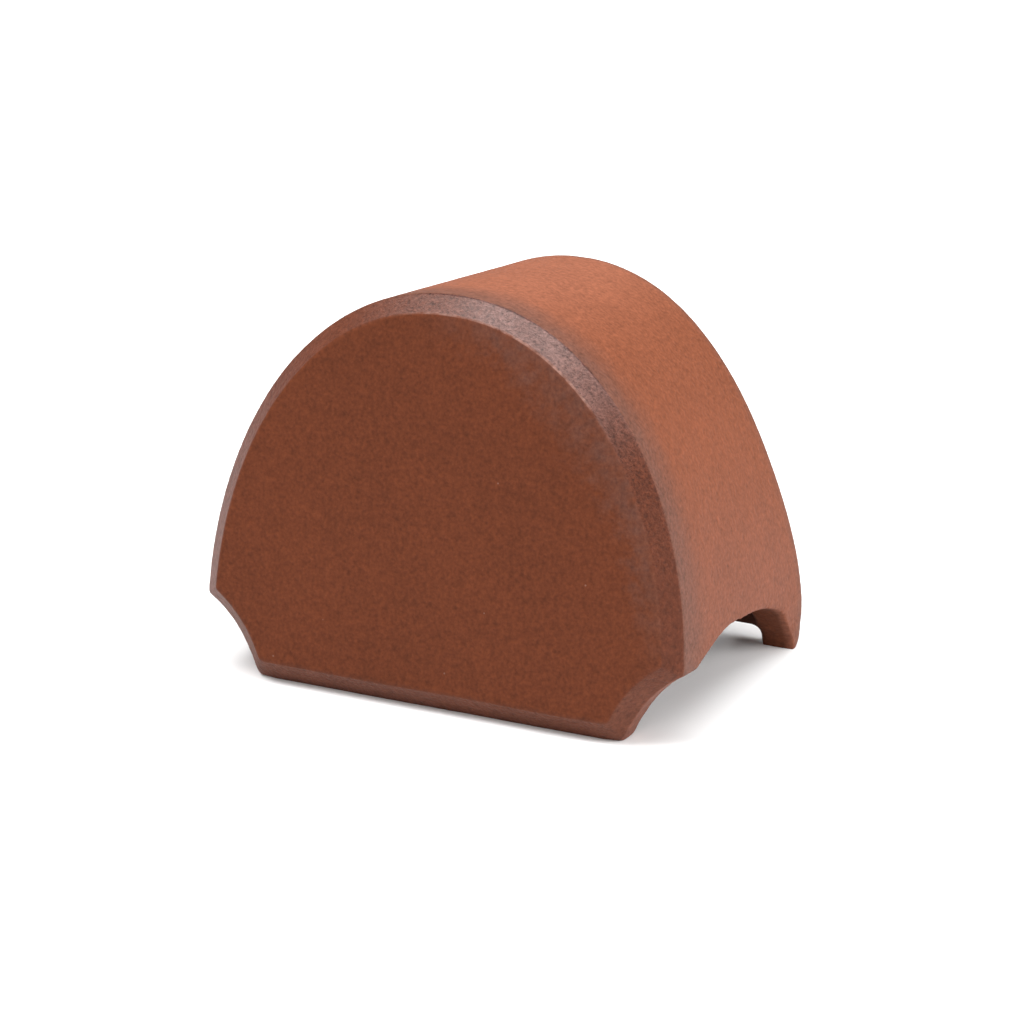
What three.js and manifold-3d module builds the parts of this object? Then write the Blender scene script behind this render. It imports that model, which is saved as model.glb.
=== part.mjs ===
// Ridge end tile: the closed end of a run of ridge tiles, moulded in fired clay as one piece.
// A flat front plate with a bevelled edge closes a short arched barrel, which is hollow and
// open below and behind. The plate's lower corners are cut by coves, and its foot reaches
// lower than the barrel's sides. Each side is scooped out along its lower edge and ends in a
// short leg at the back corner. A collar thickens the barrel's open end on the inside.
// The tile stands as on a table: on the plate's foot and both legs, leaning back.

import * as THREE from 'three';
import { mergeVertices } from 'three/addons/utils/BufferGeometryUtils.js';
import Module from 'manifold-3d';

// Driving dimensions, in millimetres and degrees.
// They are taken in the plate's own frame: x across, y back from the front face, z up from the foot.

// Front plate
const plateWidth = 250;
const plateThickness = 23;
const cornerHeight = 37;
const archRise = 162;
const shoulderEase = 0.005;
const footWidth = 194.5;
const coveRadius = 58;
const bevelDepth = 8.8;
const bevelInset = 8.8;
const footBevelInset = 10.5;

// Barrel behind the plate, which widens and falls a little towards its open end
const tileDepth = 150;
const barrelFall = 3.2;
const flareAtSide = 0.023;
const flareAtShoulder = -0.021;
const flareAtCrown = 0.035;
const wallThickness = 17.5;

// Collar inside the open end
const collarDepth = 14;
const collarReach = 16;
const collarAboveLegs = 9;

// Scoop along the lower edge of each side, and the leg behind it
const scoopStartHeight = 35.8;
const scoopCrownDepth = 82;
const scoopCrownHeight = 49.6;
const scoopRise = 31;
const scoopEase = 23.5;
const scoopFall = 28;
const scoopShoulderDepth = 126;
const scoopShoulderBend = 3;
const scoopShoulderHeight = 41;
const legFrontDepth = 141.2;
const legFrontHeight = 23.5;
const heelLength = 4;
const heelHeight = 6;

// How far the tile leans back when it stands
const leanAngle = 8.4;

// Fineness of the facets, and how far a cut runs past the face it opens
const archSteps = 60;
const coveSteps = 120;
const scoopSteps = 14;
const mergeDistance = 1e-4;
const past = 1;

// Lengths that follow from them
const lean = THREE.MathUtils.degToRad(leanAngle);
const halfWidth = plateWidth / 2;
const halfFoot = footWidth / 2;
const barrelLength = tileDepth - bevelDepth;
const fallSlope = Math.tan(THREE.MathUtils.degToRad(barrelFall));
const legFootHeight = barrelLength * Math.tan(lean);
const wide = 2 * plateWidth;

const wasm = await Module();
wasm.setup();

// A closed surface as a solid that can be joined and cut
function solidFrom(geometry) {
  const bare = geometry.clone();
  bare.deleteAttribute('normal');
  bare.deleteAttribute('uv');
  const merged = mergeVertices(bare, mergeDistance);
  return new wasm.Manifold(new wasm.Mesh({
    numProp: 3,
    vertProperties: new Float32Array(merged.attributes.position.array),
    triVerts: new Uint32Array(merged.index.array),
  }));
}

function geometryFrom(solid) {
  const mesh = solid.getMesh();
  const geometry = new THREE.BufferGeometry();
  geometry.setAttribute('position', new THREE.BufferAttribute(mesh.vertProperties, 3));
  geometry.setIndex(new THREE.BufferAttribute(mesh.triVerts, 1));
  return geometry;
}

// Share of the barrel's flare that a depth has reached: none at the bevel, all at the open end
function flareShare(y) {
  return Math.max(0, (y - bevelDepth) / barrelLength);
}

// Growth of the outline at an angle round the arch, set at the side, the shoulder and the crown
function flareAt(angle) {
  const ends = (flareAtSide + flareAtCrown) / 2;
  const mean = (ends + flareAtShoulder) / 2;
  const swing = (ends - flareAtShoulder) / 2;
  const tilt = (flareAtSide - flareAtCrown) / 2;
  return mean + swing * Math.cos(4 * angle) + tilt * Math.cos(2 * angle);
}

// A point of the arch at a depth, by its angle from the right corner: near enough half an ellipse
function archPoint(angle, y) {
  const fromSide = Math.min(angle, Math.PI - angle);
  const ellipse = 1 / Math.hypot(Math.cos(angle) / halfWidth, Math.sin(angle) / archRise);
  const eased = ellipse * (1 - shoulderEase * Math.sin(4 * fromSide));
  const radius = eased * (1 + flareAt(fromSide) * flareShare(y));
  const drop = fallSlope * Math.max(0, y - bevelDepth);
  return new THREE.Vector2(radius * Math.cos(angle), cornerHeight + radius * Math.sin(angle) - drop);
}

// The same point moved squarely inwards
function insetArchPoint(angle, y, inset) {
  const step = 1e-3;
  const before = archPoint(Math.max(0, angle - step), y);
  const after = archPoint(Math.min(Math.PI, angle + step), y);
  const along = after.sub(before).normalize();
  return archPoint(angle, y).add(new THREE.Vector2(-along.y, along.x).multiplyScalar(inset));
}

// Section at a depth, of the outside or moved inwards: the arch on upright sides, down past the table
function section(y, inset) {
  const points = [];
  for (let i = 0; i <= archSteps; i += 1) {
    points.push(insetArchPoint(Math.PI * i / archSteps, y, inset));
  }
  const right = points[0];
  const left = points[archSteps];
  points.unshift(new THREE.Vector2(right.x, -wide));
  points.push(new THREE.Vector2(left.x, -wide));
  return points;
}

// Closed solid through sections at increasing depths, each given as its depth and inset
function loft(stations) {
  const outlines = stations.map(([y, inset]) => section(y, inset));
  const count = outlines[0].length;
  const positions = outlines.flatMap((outline, s) => outline.flatMap((p) => [p.x, stations[s][0], p.y]));
  const index = [];
  for (let s = 0; s + 1 < stations.length; s += 1) {
    for (let i = 0; i < count; i += 1) {
      const a = s * count + i;
      const b = s * count + (i + 1) % count;
      index.push(a, b + count, b, a, a + count, b + count);
    }
  }
  const last = (stations.length - 1) * count;
  const front = THREE.ShapeUtils.triangulateShape(outlines[0], []);
  const back = THREE.ShapeUtils.triangulateShape(outlines[stations.length - 1], []);
  front.forEach(([a, b, c]) => index.push(a, b, c));
  back.forEach(([a, b, c]) => index.push(last + a, last + c, last + b));
  const geometry = new THREE.BufferGeometry();
  geometry.setAttribute('position', new THREE.Float32BufferAttribute(positions, 3));
  geometry.setIndex(index);
  return solidFrom(geometry);
}

// Side view of what is cut away under each side: from the plate, over the scoop, down the leg's front
function scoopShape() {
  const start = new THREE.Vector2(plateThickness, scoopStartHeight);
  const crown = new THREE.Vector2(scoopCrownDepth, scoopCrownHeight);
  const shoulder = new THREE.Vector2(scoopShoulderDepth, scoopShoulderHeight);
  const leg = new THREE.Vector2(legFrontDepth, legFrontHeight);
  const shape = new THREE.Shape();
  shape.moveTo(start.x, -wide);
  shape.lineTo(start.x, start.y);
  shape.bezierCurveTo(start.x + scoopRise, crown.y, crown.x - scoopEase, crown.y, crown.x, crown.y);
  shape.quadraticCurveTo(crown.x + scoopFall, crown.y, shoulder.x, shoulder.y);
  shape.quadraticCurveTo(shoulder.x + scoopShoulderBend, shoulder.y - scoopShoulderBend, leg.x, leg.y);
  shape.lineTo(leg.x, -wide);
  return shape;
}

// Side view of the rounding behind each leg's foot
function heelShape() {
  const shape = new THREE.Shape();
  const bottom = legFootHeight - heelHeight;
  const top = legFootHeight + heelHeight;
  shape.moveTo(tileDepth - heelLength, bottom);
  shape.lineTo(tileDepth + past, bottom);
  shape.lineTo(tileDepth + past, top);
  shape.lineTo(tileDepth, top);
  shape.absellipse(tileDepth - heelLength, top, heelLength, heelHeight, 0, -Math.PI / 2, true, 0);
  return shape;
}

// A side view pushed right across the tile
function acrossTile(shape) {
  const geometry = new THREE.ExtrudeGeometry(shape, {
    depth: wide, bevelEnabled: false, curveSegments: scoopSteps,
  });
  geometry.translate(0, 0, -wide / 2);
  geometry.applyMatrix4(new THREE.Matrix4().makeBasis(
    new THREE.Vector3(0, 1, 0), new THREE.Vector3(0, 0, 1), new THREE.Vector3(1, 0, 0),
  ));
  return solidFrom(geometry);
}

// Cut of one lower corner of the plate: a round cove whose front edge opens out with the bevel.
// Its circle passes through the plate's widest point and the end of its foot.
function coveCut(side) {
  const corner = new THREE.Vector2(halfWidth, cornerHeight);
  const chord = corner.clone().sub(new THREE.Vector2(halfFoot, 0));
  const away = new THREE.Vector2(chord.y, -chord.x).normalize();
  const reach = Math.sqrt(coveRadius ** 2 - chord.lengthSq() / 4);
  const centre = corner.addScaledVector(chord, -0.5).addScaledVector(away, reach);
  const flank = bevelInset / bevelDepth;
  const profile = [
    new THREE.Vector2(0, -past),
    new THREE.Vector2(coveRadius + bevelInset + flank * past, -past),
    new THREE.Vector2(coveRadius, bevelDepth),
    new THREE.Vector2(coveRadius, plateThickness + past),
    new THREE.Vector2(0, plateThickness + past),
  ];
  const geometry = new THREE.LatheGeometry(profile, coveSteps);
  geometry.translate(side * centre.x, 0, centre.y);
  return solidFrom(geometry);
}

// Side view of the bevel along the plate's foot
function footBevelShape() {
  const shape = new THREE.Shape();
  const flank = footBevelInset / bevelDepth;
  shape.moveTo(-past, -footBevelInset);
  shape.lineTo(bevelDepth + past, -footBevelInset);
  shape.lineTo(bevelDepth + past, -flank * past);
  shape.lineTo(-past, footBevelInset + flank * past);
  return shape;
}

// Hollow of the barrel: as wide as the walls allow, and narrower inside the collar
function barrelHollow() {
  const end = tileDepth + past;
  const collarFront = tileDepth - collarDepth;
  const collarFoot = legFootHeight + collarAboveLegs;
  const collarBlock = new THREE.BoxGeometry(wide, wide, wide);
  collarBlock.translate(0, collarFront + wide / 2, collarFoot + wide / 2);
  return loft([[plateThickness, wallThickness], [end, wallThickness]])
    .subtract(solidFrom(collarBlock))
    .add(loft([[collarFront - past, wallThickness + collarReach], [end, wallThickness + collarReach]]));
}

// The whole tile, leaned back and cut off level where its foot and legs meet the table
function standingTile() {
  const table = new THREE.BoxGeometry(2 * wide, 2 * wide, 2 * wide);
  table.translate(0, 0, -wide);
  return loft([[0, bevelInset], [bevelDepth, 0], [tileDepth, 0]])
    .subtract(coveCut(1))
    .subtract(coveCut(-1))
    .subtract(acrossTile(footBevelShape()))
    .subtract(barrelHollow())
    .subtract(acrossTile(scoopShape()))
    .subtract(acrossTile(heelShape()))
    .rotate([-leanAngle, 0, 0])
    .translate([0, 0, bevelDepth * Math.sin(lean)])
    .subtract(solidFrom(table));
}

const clay = new THREE.MeshStandardMaterial({ color: 0x8a4c34, roughness: 0.8, metalness: 0 });
clay.name = 'fired_clay';

const tile = new THREE.Mesh(geometryFrom(standingTile()), clay);
tile.name = 'ridge_end_tile';
tile.geometry.computeBoundingBox();
const middle = tile.geometry.boundingBox.getCenter(new THREE.Vector3());
tile.geometry.translate(-middle.x, -middle.y, 0);
tile.geometry.computeVertexNormals();

const ridgeEnd = new THREE.Group();
ridgeEnd.add(tile);

export default ridgeEnd;
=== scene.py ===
import math

import bmesh
import bpy
import numpy as np
from mathutils import Matrix, Vector, noise


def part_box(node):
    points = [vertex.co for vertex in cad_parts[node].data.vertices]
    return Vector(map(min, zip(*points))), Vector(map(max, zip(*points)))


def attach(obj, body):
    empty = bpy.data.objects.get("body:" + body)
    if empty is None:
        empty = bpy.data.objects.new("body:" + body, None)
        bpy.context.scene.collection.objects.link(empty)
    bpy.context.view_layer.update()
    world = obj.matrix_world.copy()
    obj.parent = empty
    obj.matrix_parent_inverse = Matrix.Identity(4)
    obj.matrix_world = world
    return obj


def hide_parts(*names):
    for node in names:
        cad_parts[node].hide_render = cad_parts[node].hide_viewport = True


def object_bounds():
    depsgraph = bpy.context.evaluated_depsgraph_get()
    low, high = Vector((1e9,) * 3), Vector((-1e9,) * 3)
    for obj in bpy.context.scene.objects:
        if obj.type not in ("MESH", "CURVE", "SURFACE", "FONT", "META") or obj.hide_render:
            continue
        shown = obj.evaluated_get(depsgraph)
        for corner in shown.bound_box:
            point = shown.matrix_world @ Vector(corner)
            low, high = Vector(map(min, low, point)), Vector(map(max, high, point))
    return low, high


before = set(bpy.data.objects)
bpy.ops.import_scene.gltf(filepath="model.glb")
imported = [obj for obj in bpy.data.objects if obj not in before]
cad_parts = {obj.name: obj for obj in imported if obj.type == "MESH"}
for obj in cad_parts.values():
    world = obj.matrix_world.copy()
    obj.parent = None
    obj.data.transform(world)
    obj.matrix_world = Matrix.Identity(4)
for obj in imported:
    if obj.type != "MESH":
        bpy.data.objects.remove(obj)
cad_low, cad_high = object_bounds()


# Ridge end tile.
# One moulding of fired clay: a bevelled front plate with cove-cut corners closes a short arched
# barrel, hollow and open below and behind. It is pressed in a mould and fettled by hand, so every
# edge is a little soft, and it stands on the plate's foot and two back legs.

# Sizes are in metres. In the tile's own frame x runs across, y back from the face, z up from the foot.

plate_width = 0.250
plate_thickness = 0.023
corner_height = 0.037
arch_rise = 0.162
shoulder_ease = 0.005
foot_width = 0.1945
cove_radius = 0.058
cove_spare = 0.0004
bevel_depth = 0.0088
bevel_inset = 0.0088
foot_bevel_inset = 0.0105

tile_depth = 0.150
barrel_fall = math.radians(3.2)
flare_at_side = 0.023
flare_at_shoulder = -0.021
flare_at_crown = 0.035
wall_thickness = 0.0175

collar_depth = 0.014
collar_reach = 0.016
collar_above_legs = 0.009

scoop_start_height = 0.0358
scoop_crown_depth = 0.082
scoop_crown_height = 0.0496
scoop_rise = 0.031
scoop_ease = 0.0235
scoop_fall = 0.028
scoop_shoulder_depth = 0.126
scoop_shoulder_height = 0.041
scoop_shoulder_bend = 0.003
leg_front_depth = 0.1412
leg_front_height = 0.0235
heel_length = 0.004
heel_height = 0.006

lean = math.radians(8.4)
arch_steps = 180
cove_steps = 240
curve_steps = 24
rim_steps = 6
past = 0.001
wide = 2 * plate_width

half_width = plate_width / 2
half_foot = foot_width / 2
barrel_length = tile_depth - bevel_depth
leg_foot_height = barrel_length * math.tan(lean)
foot_rise = bevel_depth * math.sin(lean)


def flare_at(angle):
    """Growth of the outline towards the open end, at an angle round the arch."""
    ends = (flare_at_side + flare_at_crown) / 2
    mean = (ends + flare_at_shoulder) / 2
    swing = (ends - flare_at_shoulder) / 2
    tilt = (flare_at_side - flare_at_crown) / 2
    return mean + swing * math.cos(4 * angle) + tilt * math.cos(2 * angle)


def arch_point(angle, y):
    """A point of the arch at a depth, by its angle from the right corner."""
    from_side = min(angle, math.pi - angle)
    ellipse = 1 / math.hypot(math.cos(angle) / half_width, math.sin(angle) / arch_rise)
    behind = max(0, y - bevel_depth)
    growth = 1 + flare_at(from_side) * behind / barrel_length
    radius = ellipse * (1 - shoulder_ease * math.sin(4 * from_side)) * growth
    height = corner_height + radius * math.sin(angle) - math.tan(barrel_fall) * behind
    return Vector((radius * math.cos(angle), height))


def section(y, inset):
    """The tile's outline at a depth, moved inwards: the arch on upright sides, down past the table."""
    step = 1e-3
    points = []
    for i in range(arch_steps + 1):
        angle = math.pi * i / arch_steps
        before = arch_point(max(0, angle - step), y)
        along = (arch_point(min(math.pi, angle + step), y) - before).normalized()
        points.append(arch_point(angle, y) + Vector((-along.y, along.x)) * inset)
    right = Vector((points[0].x, -wide))
    left = Vector((points[-1].x, -wide))
    return [right, *points, left]


def closed_mesh(name, rings):
    """A closed mesh through rings of points, capped at both ends."""
    count = len(rings[0])
    points = [p for ring in rings for p in ring]
    faces = [tuple(range(count)), tuple(reversed(range(len(points) - count, len(points))))]
    for s in range(len(rings) - 1):
        for i in range(count):
            a, b = s * count + i, s * count + (i + 1) % count
            faces.append((b, a, a + count, b + count))
    mesh = bpy.data.meshes.new(name)
    mesh.from_pydata(points, [], faces)
    solid = bmesh.new()
    solid.from_mesh(mesh)
    bmesh.ops.recalc_face_normals(solid, faces=solid.faces)
    solid.to_mesh(mesh)
    solid.free()
    made = bpy.data.objects.new(name, mesh)
    bpy.context.scene.collection.objects.link(made)
    return made


def loft(name, stations):
    """A solid through the outline at several depths, each given as its depth and inset."""
    return closed_mesh(name, [[(p.x, y, p.y) for p in section(y, inset)] for y, inset in stations])


def across_tile(name, side_view):
    """A side view, as points of depth and height, pushed right across the tile."""
    return closed_mesh(name, [[(x, y, z) for y, z in side_view] for x in (-wide, wide)])


def bezier(*corners):
    """Points along a curve of two, three or four corners, without its first point."""
    curve = []
    for i in range(1, curve_steps + 1):
        level = [Vector(c) for c in corners]
        while len(level) > 1:
            level = [a.lerp(b, i / curve_steps) for a, b in zip(level, level[1:])]
        curve.append(level[0])
    return curve


def scoop_view():
    """What is cut away under each side: from the plate, over the scoop, down the leg's front."""
    start = (plate_thickness, scoop_start_height)
    crown = (scoop_crown_depth, scoop_crown_height)
    shoulder = (scoop_shoulder_depth, scoop_shoulder_height)
    leg = (leg_front_depth, leg_front_height)
    bend = (shoulder[0] + scoop_shoulder_bend, shoulder[1] - scoop_shoulder_bend)
    return [
        (start[0], -wide), start,
        *bezier(start, (start[0] + scoop_rise, crown[1]), (crown[0] - scoop_ease, crown[1]), crown),
        *bezier(crown, (crown[0] + scoop_fall, crown[1]), shoulder),
        *bezier(shoulder, bend, leg),
        (leg[0], -wide),
    ]


def heel_view():
    """The rounding behind each leg's foot."""
    top = leg_foot_height + heel_height
    front = tile_depth - heel_length
    quarter = [math.pi / 2 * i / curve_steps for i in range(curve_steps + 1)]
    arc = [(front + heel_length * math.cos(a), top - heel_height * math.sin(a)) for a in quarter]
    return [*arc, (front, leg_foot_height - heel_height),
            (tile_depth + past, leg_foot_height - heel_height), (tile_depth + past, top)]


def cove_cutter(name, side):
    """The round cove at a lower corner of the plate, opening out at the front with the bevel."""
    corner = Vector((half_width, corner_height))
    chord = corner - Vector((half_foot, 0))
    away = Vector((chord.y, -chord.x)).normalized()
    reach = math.sqrt(cove_radius ** 2 - chord.length_squared / 4)
    centre = corner - chord / 2 + away * reach
    flank = bevel_inset / bevel_depth
    stations = [
        (-past, cove_radius + bevel_inset + flank * past),
        (bevel_depth, cove_radius - cove_spare),
        (plate_thickness + past, cove_radius - cove_spare),
    ]
    turns = [2 * math.pi * i / cove_steps for i in range(cove_steps)]
    return closed_mesh(name, [
        [(side * centre.x + r * math.cos(t), y, centre.y + r * math.sin(t)) for t in turns]
        for y, r in stations
    ])


def foot_bevel_view():
    """The bevel along the plate's foot."""
    flank = foot_bevel_inset / bevel_depth
    return [(-past, -foot_bevel_inset), (bevel_depth + past, -foot_bevel_inset),
            (bevel_depth + past, -flank * past), (-past, foot_bevel_inset + flank * past)]


def cut(solid, cutter):
    """Cuts a solid by another and drops the cutter."""
    step = solid.modifiers.new("cut", "BOOLEAN")
    step.operation = "DIFFERENCE"
    step.solver = "MANIFOLD"
    step.object = cutter
    settle(solid)
    bpy.data.objects.remove(cutter)


def settle(solid):
    """Turns a piece's modifiers into its own mesh."""
    shaped = bpy.data.meshes.new_from_object(solid.evaluated_get(bpy.context.evaluated_depsgraph_get()))
    solid.modifiers.clear()
    solid.data = shaped


end = tile_depth + past
collar_front = tile_depth - collar_depth
collar_foot = leg_foot_height + collar_above_legs
hollow = loft("hollow", [(plate_thickness, wall_thickness), (end, wall_thickness)])
collar_side = [(collar_front, collar_foot), (collar_front + wide, collar_foot),
               (collar_front + wide, collar_foot + wide), (collar_front, collar_foot + wide)]
cut(hollow, across_tile("collar_block", collar_side))
inner_inset = wall_thickness + collar_reach
mouth = loft("mouth", [(collar_front - past, inner_inset), (end, inner_inset)])

# Softening draws edges in a little, so the clay starts out by about as much larger. The back rim
# is rounded.
edge_spare, rim_spare, rim_radius = 0.0003, 0.0014, 0.0014
rim_turns = [math.pi / 2 * i / rim_steps for i in range(rim_steps + 1)]
rim = [
    (tile_depth - rim_radius * (1 - math.sin(a)), rim_radius * (1 - math.cos(a)) - rim_spare)
    for a in rim_turns
]
tile = loft("ridge_tile_clay", [(0, bevel_inset - edge_spare), (bevel_depth, -edge_spare), *rim])
cut(tile, cove_cutter("cove_right", 1))
cut(tile, cove_cutter("cove_left", -1))
cut(tile, across_tile("foot_bevel", foot_bevel_view()))
cut(tile, hollow)
cut(tile, mouth)
cut(tile, across_tile("scoops", scoop_view()))
cut(tile, across_tile("heels", heel_view()))

# The tile leans back on its foot and legs, centred over the origin. A little clay is left below
# the table until the edges are softened, so that the feet are still flat when it is cut away.
low_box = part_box("ridge_end_tile")[0]
feet_spare = 0.0012
to_middle = low_box.y - foot_bevel_inset * math.sin(lean)
tile.data.transform(Matrix.Translation((0, to_middle, foot_rise)) @ Matrix.Rotation(-lean, 4, "X"))
underside = [(-wide, -wide), (wide, -wide), (wide, wide), (-wide, wide)]
cut(tile, closed_mesh("table", [[(x, y, z) for x, y in underside] for z in (-3 * wide, -feet_spare)]))

voxel = 0.0009
remesh = tile.modifiers.new("even_mesh", "REMESH")
remesh.mode = "VOXEL"
remesh.voxel_size = voxel
settle(tile)


def soften(points, edges, rounds, share):
    """Rounds edges: in each round every point moves by its share towards its neighbours' middle."""
    count = np.bincount(edges.ravel(), minlength=len(points))
    for _ in range(rounds):
        total = np.zeros_like(points)
        for axis in range(3):
            total[:, axis] += np.bincount(edges[:, 0], points[edges[:, 1], axis], len(points))
            total[:, axis] += np.bincount(edges[:, 1], points[edges[:, 0], axis], len(points))
        points = points + (total / count[:, None] - points) * share[:, None]
    return points


def ramp(values, start, stop):
    """From 0 at start to 1 at stop, smoothly."""
    t = np.clip((values - start) / (stop - start), 0, 1)
    return t * t * (3 - 2 * t)


def in_tile(points):
    """How far points of the standing tile lie behind its front face, and above its foot."""
    back, up = points[:, 1] - to_middle, points[:, 2] - foot_rise
    return back * math.cos(lean) - up * math.sin(lean), back * math.sin(lean) + up * math.cos(lean)


mesh = tile.data
points = np.empty(len(mesh.vertices) * 3)
mesh.vertices.foreach_get("co", points)
points = points.reshape(-1, 3)
edges = np.empty(len(mesh.edges) * 2, int)
mesh.edges.foreach_get("vertices", edges)
edges = edges.reshape(-1, 2)

# All edges are a little soft, those behind the bevel more, and the corners of the feet most.
half_step = 0.5
edge_rounds, back_rounds, leg_rounds, plate_corner_rounds = 2, 4, 30, 50
depth_in, height_in = in_tile(points)
leg_zone, leg_top = (0.12, 0.13), (0.007, 0.016)
corner_zone, corner_top = (half_foot - 0.012, half_foot - 0.005), (0.005, 0.013)
behind_bevel = ramp(depth_in, bevel_depth + 0.002, bevel_depth + 0.005)
leg_corners = ramp(depth_in, *leg_zone) * (1 - ramp(points[:, 2], *leg_top))
plate_corners = ramp(np.abs(points[:, 0]), *corner_zone) * (1 - ramp(height_in, *corner_top))
points = soften(points, edges, edge_rounds, np.full(len(points), half_step))
points = soften(points, edges, back_rounds, half_step * behind_bevel)
points = soften(points, edges, leg_rounds, half_step * leg_corners)
points = soften(points, edges, plate_corner_rounds, half_step * plate_corners)

# Hand-pressed clay is never quite even: it has broad waves, and a rough, pitted skin on the bevel.
mesh.vertices.foreach_set("co", points.ravel())
mesh.update()
normals = np.empty(len(points) * 3)
mesh.vertices.foreach_get("normal", normals)
normals = normals.reshape(-1, 3)
depth_in, height_in = in_tile(points)
bevel_front, bevel_back = (0.0005, 0.0015), (bevel_depth - 0.001, bevel_depth + 0.0005)
on_bevel = ramp(depth_in, *bevel_front) * (1 - ramp(depth_in, *bevel_back))
wave_size, wave_height = 0.045, 0.00020
ripple_size, ripple_height = 0.009, 0.00006
pit_size, pit_height = 0.0022, 0.00012
lift = np.array([
    wave_height * noise.noise(Vector(p) / wave_size) + ripple_height * noise.noise(Vector(p) / ripple_size)
    for p in points
])
pits = np.array([noise.noise(Vector(p) / pit_size) if b > 0 else 0 for p, b in zip(points, on_bevel)])
low_pits, pit_zone = 0.35, (0.06, 0.11)
pitted = on_bevel * (low_pits + (1 - low_pits) * ramp(height_in, *pit_zone))
points = points + normals * (lift + pit_height * pits * pitted)[:, None]

# The clay stays a hair inside the box of the solid part.
a_hair = 2e-6
box_low = np.array([cad_low[0] + a_hair, cad_low[1] + a_hair, -wide])
points = np.clip(points, box_low, np.array(cad_high) - a_hair)
mesh.vertices.foreach_set("co", points.ravel())
mesh.update()

# The even mesh is thinned where the clay is flat, and kept fine on the bevel.
triangle_target, flat_weight = 186000, 0.2
thinned = tile.vertex_groups.new(name="away_from_bevel")
thinned.add(np.flatnonzero(on_bevel == 0).tolist(), 1, "REPLACE")
thinning = tile.modifiers.new("thinning", "DECIMATE")
thinning.ratio = triangle_target / (2 * len(mesh.polygons))
thinning.vertex_group = thinned.name
thinning.vertex_group_factor = flat_weight
settle(tile)
tile.vertex_groups.clear()

# What is left below the table is cut away, and the cut feet are closed.
mesh = tile.data
clay_mesh = bmesh.new()
clay_mesh.from_mesh(mesh)
everything = [*clay_mesh.verts, *clay_mesh.edges, *clay_mesh.faces]
bmesh.ops.bisect_plane(clay_mesh, geom=everything, plane_co=(0, 0, 0), plane_no=(0, 0, -1), clear_outer=True)
open_edges = [e for e in clay_mesh.edges if e.is_boundary]
bmesh.ops.holes_fill(clay_mesh, edges=open_edges)
bmesh.ops.recalc_face_normals(clay_mesh, faces=clay_mesh.faces)
clay_mesh.to_mesh(mesh)
clay_mesh.free()
mesh.shade_smooth()


class Wire:
    """A node's output, so that shader maths reads as plain sums."""

    def __init__(self, socket):
        self.socket = socket

    def node(self, kind, settings=None, inputs=None, output=0):
        """Adds a node to this wire's material: its settings, then values or wires for its sockets."""
        added = self.socket.id_data.nodes.new(kind)
        for name, value in (settings or {}).items():
            setattr(added, name, value)
        for name, value in (inputs or {}).items():
            if isinstance(value, Wire):
                self.socket.id_data.links.new(value.socket, added.inputs[name])
            else:
                added.inputs[name].default_value = value
        return Wire(added.outputs[output]) if added.outputs else None

    def math(self, operation, first, second=0.0):
        return self.node("ShaderNodeMath", {"operation": operation}, {0: first, 1: second})

    def __add__(self, other):
        return self.math("ADD", self, other)

    __radd__ = __add__

    def __sub__(self, other):
        return self.math("SUBTRACT", self, other)

    def __rsub__(self, other):
        return self.math("SUBTRACT", other, self)

    def __mul__(self, other):
        return self.math("MULTIPLY", self, other)

    __rmul__ = __mul__

    def __truediv__(self, other):
        return self.math("DIVIDE", self, other)

    def __rtruediv__(self, other):
        return self.math("DIVIDE", other, self)

    def at_least(self, floor):
        return self.math("MAXIMUM", self, floor)

    def root(self):
        return self.math("SQRT", self)

    def size(self):
        return self.math("ABSOLUTE", self)

    def sine(self):
        return self.math("SINE", self)

    def cosine(self):
        return self.math("COSINE", self)

    def angle_over(self, across):
        """The angle of a slope that rises by this wire over a run across."""
        return self.math("ARCTAN2", self, across)

    def ramp(self, start, stop):
        """From 0 where the value is at start to 1 at stop, smoothly."""
        return self.node("ShaderNodeMapRange", {"interpolation_type": "SMOOTHSTEP"},
                         {"Value": self, "From Min": start, "From Max": stop})

    def within(self, low, high, soft):
        """1 between two values and 0 outside them, over a soft step at each."""
        return self.ramp(low - soft, low + soft) * (1 - self.ramp(high - soft, high + soft))

    def grain(self, size, detail=2.0, roughness=0.5):
        """Noise from about -1 to 1 on a place in the clay, with lumps of a size in metres."""
        settings = {"Vector": self, "Scale": 1 / size, "Detail": detail, "Roughness": roughness}
        return self.node("ShaderNodeTexNoise", {}, settings) * 2 - 1

    def specks(self, spacing, radius):
        """1 in small round specks strewn through the clay, about a spacing apart, and 0 between them."""
        away = self.node("ShaderNodeTexVoronoi", {}, {"Vector": self, "Scale": 1 / spacing})
        return 1 - away.ramp(radius / spacing * 0.5, radius / spacing)

    def blend(self, colour, share):
        """This colour mixed towards another by a share."""
        colours = {"Factor": share, 6: self, 7: (*colour, 1)}
        return self.node("ShaderNodeMix", {"data_type": "RGBA"}, colours, 2)


clay = bpy.data.materials.new("fired_clay")
clay.use_nodes = True
clay.node_tree.nodes.clear()
place = Wire(clay.node_tree.nodes.new("ShaderNodeTexCoord").outputs["Object"])
x = place.node("ShaderNodeSeparateXYZ", {}, {0: place})
y, z = Wire(x.socket.node.outputs["Y"]), Wire(x.socket.node.outputs["Z"])

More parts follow.
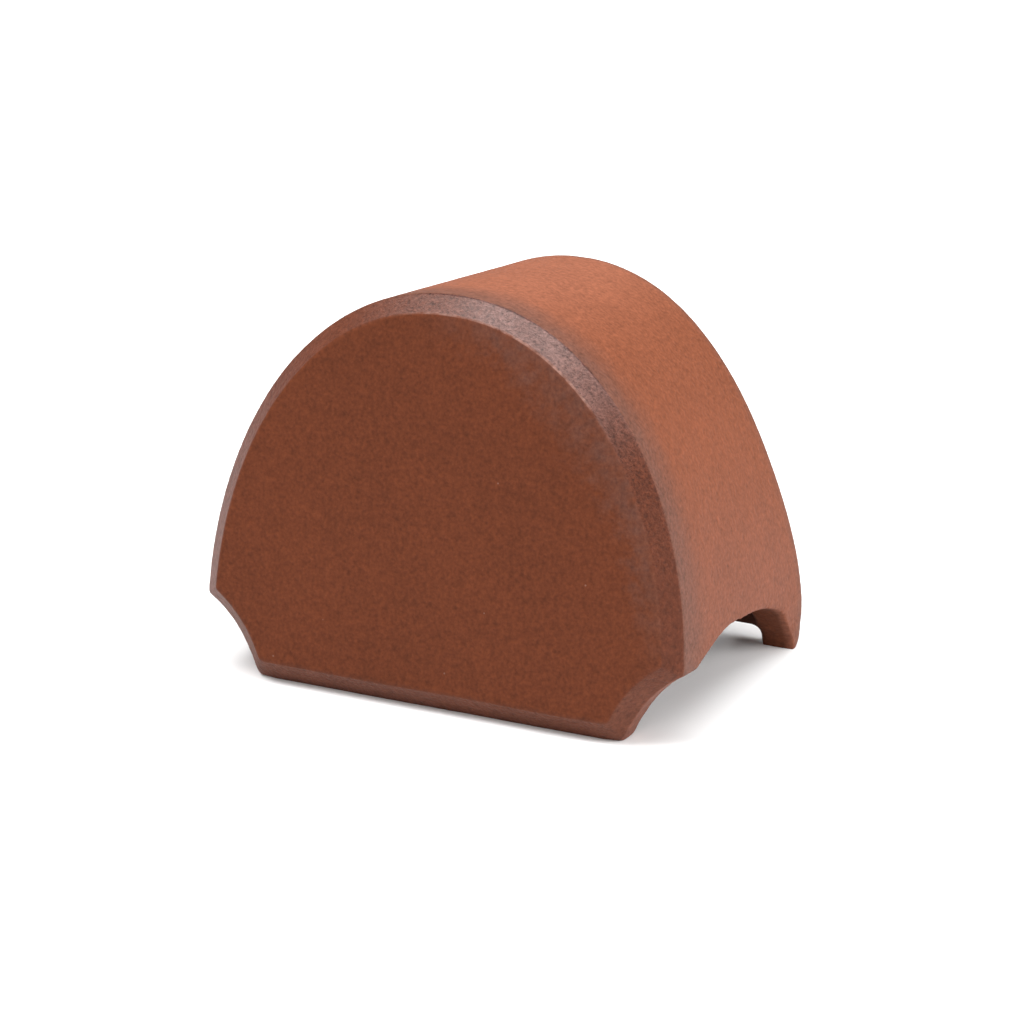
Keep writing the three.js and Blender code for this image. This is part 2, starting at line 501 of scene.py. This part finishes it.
# Places in the tile's own frame; how far round the arch a point lies, in degrees from the right;
# and how far in from the outer skin, by the same outline as the tile is lofted through.
back, rise = y - to_middle, z - foot_rise
depth = back * math.cos(lean) - rise * math.sin(lean)
height = back * math.sin(lean) + rise * math.cos(lean)
behind = (depth - bevel_depth).at_least(0)
side = x.size()
above = (height - corner_height + behind * math.tan(barrel_fall)).at_least(0)
angle = above.angle_over(side)
across_part, up_part = angle.cosine() / half_width, angle.sine() / arch_rise
twice, four_times = angle * 2, angle * 4
ends, eased = (flare_at_side + flare_at_crown) / 2, four_times.sine() * shoulder_ease
growth = (four_times.cosine() * ((ends - flare_at_shoulder) / 2)
          + twice.cosine() * ((flare_at_side - flare_at_crown) / 2)
          + (ends + flare_at_shoulder) / 2)
plain_reach = 1 / (across_part * across_part + up_part * up_part).root()
skin_reach = (1 - eased) * (1 + growth * behind / barrel_length) * plain_reach
from_skin = skin_reach - (side * side + above * above).root()
turn = (above / arch_rise).angle_over(x / half_width) * (180 / math.pi)

# Where each part of the skin lies. A part fades into the next over a soft step.
face_edge, bevel_step, plate_step = (0.0004, 0.0012), 0.0004, 0.001
cove_top = (corner_height - 0.012, corner_height + 0.006)
skin_edge, hollow_edge = (0.0015, 0.0050), (wall_thickness - 0.003, wall_thickness + 0.001)
collar_fade = (collar_front + 0.002, collar_front + 0.008)
face = 1 - depth.ramp(*face_edge)
barrel = depth.ramp(bevel_depth - bevel_step, bevel_depth + bevel_step)
bevel = 1 - face - barrel
above_coves = height.ramp(*cove_top)
behind_plate = depth.ramp(plate_thickness - plate_step, plate_thickness + plate_step)
inside = behind_plate * from_skin.ramp(*skin_edge)
deep_hollow_shade = inside * from_skin.ramp(*hollow_edge) * (1 - depth.ramp(*collar_fade))

# The clay: red-brown on the pressed face, orange on the crown of the barrel and pinker down its sides.
# Behind the plate, under the scoops and in the hollow its brown is darkened by painted shade, darkest deep
# in the hollow.
face_red = (0.115, 0.0290, 0.0108)
bevel_brown = (0.094, 0.0238, 0.0100)
barrel_brown = (0.186, 0.0570, 0.0270)
crown_orange = (0.242, 0.0845, 0.0470)
side_pink = (0.180, 0.0605, 0.0340)
shaded_inside_brown = (0.108, 0.0310, 0.0138)
painted_hollow_shade = (0.034, 0.0105, 0.0062)
flash_mauve = (0.136, 0.0625, 0.0455)
face_mauve = (0.116, 0.0440, 0.0290)
ash_and_sheen_grey = (0.165, 0.0905, 0.0785)
burnt = (0.066, 0.0180, 0.0120)
pale_speck_and_edge_highlight = (0.270, 0.1450, 0.1150)

mottle = place.grain(size=0.050, detail=3.0)
patch = place.grain(size=0.017, detail=3.0)
broken = place.grain(size=0.007, detail=3.0, roughness=0.65)
sand = place.grain(size=0.0034, roughness=0.6)
fine_sand = place.grain(size=0.0018, roughness=0.6)
grit = place.grain(size=0.0011, roughness=0.6)

clay_colour = place.node("ShaderNodeRGB")
clay_colour.socket.default_value = (*barrel_brown, 1)
turn_step = 16
skin = clay_colour.blend(crown_orange, turn.within(72, 112, turn_step))
skin = skin.blend(side_pink, 1 - turn.within(20, 160, turn_step))
skin = skin.blend(face_red, 1 - barrel)
skin = skin.blend(bevel_brown, bevel * (1 - 0.75 * turn.ramp(50, 110)) * above_coves)
# Painted shade: the clay behind the plate, under the scoops and down the legs' fronts is darkened, and the
# deep hollow is painted near black.
skin = skin.blend(shaded_inside_brown, inside)
skin = skin.blend(painted_hollow_shade, deep_hollow_shade * 0.8)

# Flashing: flame and ash caught the plate's edges, most at the upper right, and turned them mauve and grey;
# at the upper right of the bevel the grey is partly a painted sheen. Bands of it run round the front of the
# barrel, its back rim and the right of the face.
outer_skin = 1 - from_skin.ramp(0.001, 0.004)
front_width, back_width, edge_width = 0.032, 0.009, 0.026
band_step, cove_step = 14, 0.002
front_end = bevel_depth + front_width + patch * 0.014
front_band = barrel * outer_skin * (1 - depth.ramp(bevel_depth, front_end))
back_band = outer_skin * depth.ramp(tile_depth - back_width, tile_depth) * 0.6
band_width = edge_width + 0.014 * turn.within(38, 72, band_step) + broken * 0.018
face_band = face * (1 - from_skin.ramp(0.009, band_width)) * turn.within(8, 88, band_step)

# Ash lies on the bevel from its right to just past the top, and more thinly at its left and in the coves;
# on the upper right its grey is partly a painted sheen. The bevels of the foot and the coves are flashed
# too.
ash_and_sheen = bevel * turn.ramp(34, 66) * (1 - 0.65 * turn.ramp(76, 94)) * (1 - 0.85 * turn.ramp(94, 120))
left_ash = bevel * turn.ramp(112, 165) * above_coves * 0.60
foot_flash = bevel * (1 - above_coves) * 0.45
in_coves = 1 - depth.ramp(plate_thickness - cove_step, plate_thickness + cove_step)
cove_ash = barrel * in_coves * (1 - above_coves) * 0.30
skin = skin.blend(flash_mauve, front_band * (0.75 + broken * 0.3) + back_band)
skin = skin.blend(face_mauve, face_band * (0.60 + broken * 0.9) + foot_flash + bevel * 0.10)
# Painted sheen: the grey on the upper right bevel stands partly for light glancing off it.
skin = skin.blend(ash_and_sheen_grey, (ash_and_sheen + left_ash + cove_ash) * (0.90 + patch * 0.25 + broken * 0.15))

# A burnt line runs along the bevel's outer edge at the upper right, and a painted highlight, where the
# rounded edge catches the light, along its inner.
line_step = 0.0002
burnt_line = depth.within(bevel_depth - 0.0006, bevel_depth + 0.0001, line_step)
burnt_line = burnt_line * turn.within(52, 98, 6)
painted_edge_highlight = from_skin.within(bevel_inset - 0.0011, bevel_inset - 0.0002, line_step)
painted_edge_highlight = painted_edge_highlight * (1 - barrel) * turn.within(50, 98, 10)
skin = skin.blend(burnt, (burnt_line * (0.75 + broken * 1.5)).at_least(0))
# Painted highlight along the bevel's inner edge; the same pale colour also makes the pale specks below.
skin = skin.blend(pale_speck_and_edge_highlight, (painted_edge_highlight * (0.45 + broken * 1.4)).at_least(0))

# Sandy grain, coarser on the upper bevel, with a few dark and pale specks.
skin = skin.blend(burnt, place.specks(spacing=0.0100, radius=0.0005) * 0.45)
skin = skin.blend(pale_speck_and_edge_highlight, place.specks(spacing=0.0170, radius=0.0006) * 0.42)
coarse = bevel * (0.2 + 0.8 * turn.within(24, 106, 14))
sandy = sand * 0.32 + fine_sand * 0.62
cloudy = mottle * 0.10 + patch * 0.07
tone = 1 - front_band * 0.10 + cloudy + sandy * (0.80 + 0.45 * coarse) + grit * (0.45 * coarse)
tinted = skin.node("ShaderNodeVectorMath", {"operation": "SCALE"}, {0: skin, "Scale": tone})

grain_height = 0.00036
relief = fine_sand * (0.35 + coarse) + sand * (0.25 + 0.5 * coarse) + grit * (1.7 * coarse)
bump = relief.node("ShaderNodeBump", {}, {"Height": relief, "Strength": 1.0, "Distance": grain_height})
surface = place.node("ShaderNodeBsdfPrincipled", {}, {
    "Base Color": tinted,
    "Roughness": 0.62 - 0.10 * bevel + 0.05 * patch,
    "Normal": bump,
    "Specular IOR Level": 0.12,
    "Coat Weight": ash_and_sheen * 0.30 + bevel * 0.05 + face_band * 0.05,
    "Coat Roughness": 0.34,
})
place.node("ShaderNodeOutputMaterial", {}, {"Surface": surface})

mesh.materials.clear()
mesh.materials.append(clay)
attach(tile, "root")
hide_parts("ridge_end_tile")


# Floor.
# A plain white table top, wide enough to fill the view, which is all the background there is.
floor_half, floor_white, floor_roughness, floor_shine = 6.0, 0.9, 0.9, 0.1
floor_mesh = bpy.data.meshes.new("floor")
floor_mesh.from_pydata([(-floor_half, -floor_half, 0), (floor_half, -floor_half, 0),
                        (floor_half, floor_half, 0), (-floor_half, floor_half, 0)], [], [(0, 1, 2, 3)])
floor = bpy.data.objects.new("floor", floor_mesh)
bpy.context.scene.collection.objects.link(floor)
white = bpy.data.materials.new("white_floor")
white.use_nodes = True
paint = white.node_tree.nodes["Principled BSDF"].inputs
paint["Base Color"].default_value = (floor_white, floor_white, floor_white, 1)
paint["Roughness"].default_value = floor_roughness
paint["Specular IOR Level"].default_value = floor_shine
floor_mesh.materials.append(white)


# Light.
# Four soft boxes, overhead, right, upper left and behind the camera, and a dim white room.
def soft_box(name, position, aim, size, power):
    """A square lamp of a size in metres and a power in watts, turned to shine at a point."""
    lamp = bpy.data.lights.new(name, "AREA")
    lamp.shape = "SQUARE"
    lamp.size = size
    lamp.energy = power
    made = bpy.data.objects.new(name, lamp)
    bpy.context.scene.collection.objects.link(made)
    made.location = position
    made.rotation_euler = (Vector(aim) - Vector(position)).to_track_quat("-Z", "Y").to_euler()


under_tile, tile_middle = (0, 0, 0), (0, 0, 0.08)
soft_box("overhead_box", (0.1, 0.3, 2.2), under_tile, size=2.4, power=65)
soft_box("right_box", (2.2, 0.2, 1.2), tile_middle, size=1.6, power=56)
soft_box("left_box", (-1.2, -0.6, 2.2), tile_middle, size=1.4, power=56)
soft_box("front_box", (0.7, -2.4, 1.7), tile_middle, size=1.6, power=26)

room_light = 0.06
world = bpy.data.worlds.new("room")
bpy.context.scene.world = world
world.use_nodes = True
world.node_tree.nodes["Background"].inputs["Color"].default_value = (1, 1, 1, 1)
world.node_tree.nodes["Background"].inputs["Strength"].default_value = room_light
bpy.context.scene.view_settings.view_transform = "Standard"


# Camera.
# A long lens, from the right of the front and above, as the photograph was taken.
camera_place = Vector((0.7918, -1.6250, 0.7697))
camera_azimuth = math.radians(25.92)
camera_elevation = math.radians(21.13)
camera_roll = math.radians(-0.72)
photo_width = 1024
lens_in_pixels = 4000
sensor_width = 36
lens = bpy.data.cameras.new("camera")
lens.sensor_width = sensor_width
lens.lens = lens_in_pixels / photo_width * sensor_width
camera = bpy.data.objects.new("camera", lens)
bpy.context.scene.collection.objects.link(camera)
backwards = Vector((
    math.sin(camera_azimuth) * math.cos(camera_elevation),
    -math.cos(camera_azimuth) * math.cos(camera_elevation),
    math.sin(camera_elevation),
))
level = Vector((0, 0, 1)).cross(backwards).normalized()
upright = backwards.cross(level)
right = level * math.cos(camera_roll) + upright * math.sin(camera_roll)
up = backwards.cross(right)
facing = Matrix((right, up, backwards)).transposed().to_4x4()
camera.matrix_world = Matrix.Translation(camera_place) @ facing
bpy.context.scene.camera = camera
